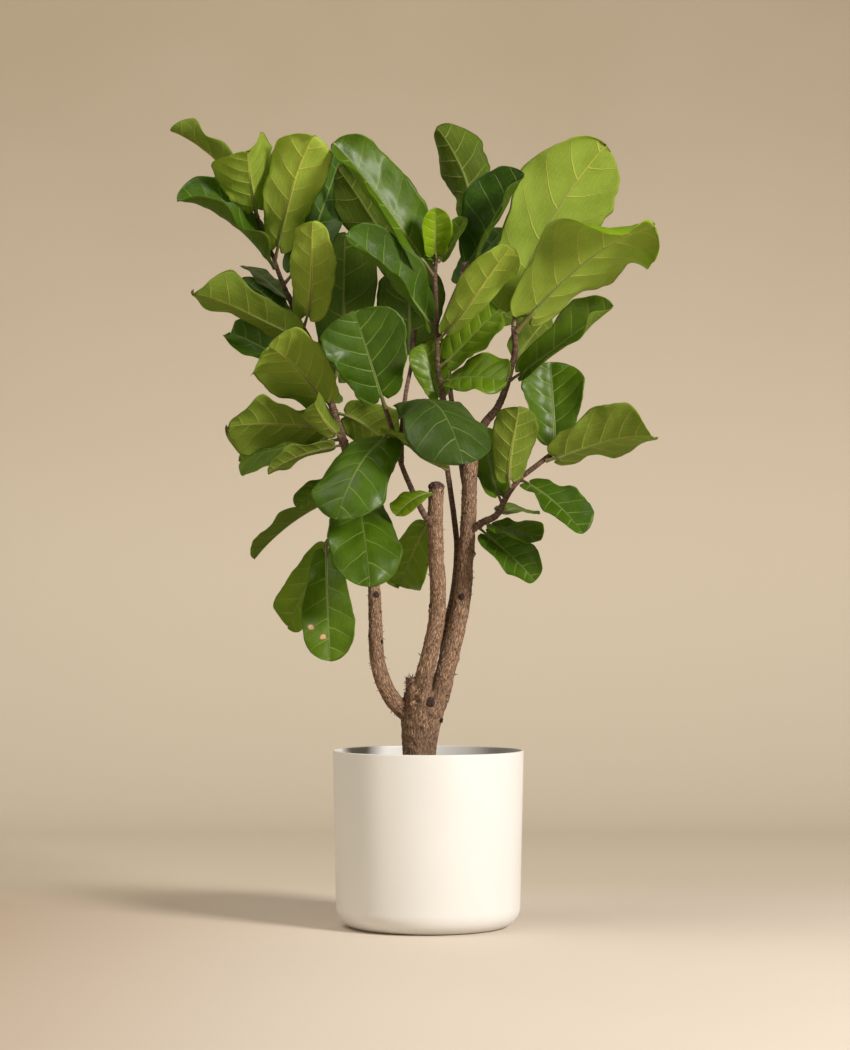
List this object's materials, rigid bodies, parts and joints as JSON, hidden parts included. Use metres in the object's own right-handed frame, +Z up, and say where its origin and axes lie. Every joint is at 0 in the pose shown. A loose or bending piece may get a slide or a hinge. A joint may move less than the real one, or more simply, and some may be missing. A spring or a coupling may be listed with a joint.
{
  "type": "potted fiddle leaf fig",
  "caption": "Tall fiddle leaf fig with three bare woody stems and a broad crown of large lyre-shaped leaves, growing in a plain round white tub.",
  "frame": {"origin": "centre of the pot's base, on the surface it stands on", "axes": "+Z up along the pot's axis; the plant's front, the side with the large glossy leaves, faces -Y"},
  "size_m": [0.7771, 0.5262, 1.2834],
  "materials": {
    "pot_plastic": "satin warm white, smooth",
    "soil": "crumbly dark potting soil",
    "bark": "rough brown bark with upright cracks",
    "bud": "dull purple-brown sheath",
    "leaf": "waxy green upper side, duller underside, pale veins"
  },
  "bodies": {
    "root": {"leaf_behind_low_glossy": "leaf", "leaf_centre_bright": "leaf", "leaf_centre_dark_olive": "leaf", "leaf_centre_glossy": "leaf", "leaf_centre_inner_green": "leaf", "leaf_centre_olive": "leaf", "leaf_centre_right_green": "leaf", "leaf_centre_right_low": "leaf", "leaf_crown_dark": "leaf", "leaf_crown_dark_rear": "leaf", "leaf_crown_olive": "leaf", "leaf_front_blue_green": "leaf", "leaf_front_hanging": "leaf", "leaf_front_left_glossy": "leaf", "leaf_front_low_glossy": "leaf", "leaf_front_round": "leaf", "leaf_left_behind_broad": "leaf", "leaf_left_broad_bright": "leaf", "leaf_left_broad_olive": "leaf", "leaf_left_dark_large": "leaf", "leaf_left_dark_rear": "leaf", "leaf_left_edge_on": "leaf", "leaf_left_grey_small": "leaf", "leaf_left_grey_upper": "leaf", "leaf_left_hanging_light": "leaf", "leaf_left_inner_olive": "leaf", "leaf_left_inner_tall": "leaf", "leaf_left_olive": "leaf", "leaf_left_olive_low": "leaf", "leaf_left_side_on": "leaf", "leaf_left_small_curled": "leaf", "leaf_left_small_hanging": "leaf", "leaf_left_yellow": "leaf", "leaf_middle_olive": "leaf", "leaf_rear_centre": "leaf", "leaf_rear_left": "leaf", "leaf_rear_right": "leaf", "leaf_right_dark_curled": "leaf", "leaf_right_droop_lower": "leaf", "leaf_right_droop_upper": "leaf", "leaf_right_far": "leaf", "leaf_right_inner_green": "leaf", "leaf_right_inner_olive": "leaf", "leaf_right_lower": "leaf", "leaf_right_olive_rear": "leaf", "leaf_right_small": "leaf", "leaf_right_upright": "leaf", "leaf_stem_top_small": "leaf", "leaf_tip_left_curled": "leaf", "leaf_tip_left_front": "leaf", "leaf_top_left_bright": "leaf", "leaf_top_long_arching": "leaf", "leaf_top_right_large": "leaf", "leaf_top_right_tall": "leaf", "leaf_young_bright": "leaf", "leaf_young_dark": "leaf", "pot": "pot_plastic", "potting_soil": "soil", "terminal_bud": "bud", "trunk_and_branches": "bark"}
  },
  "joints": []
}
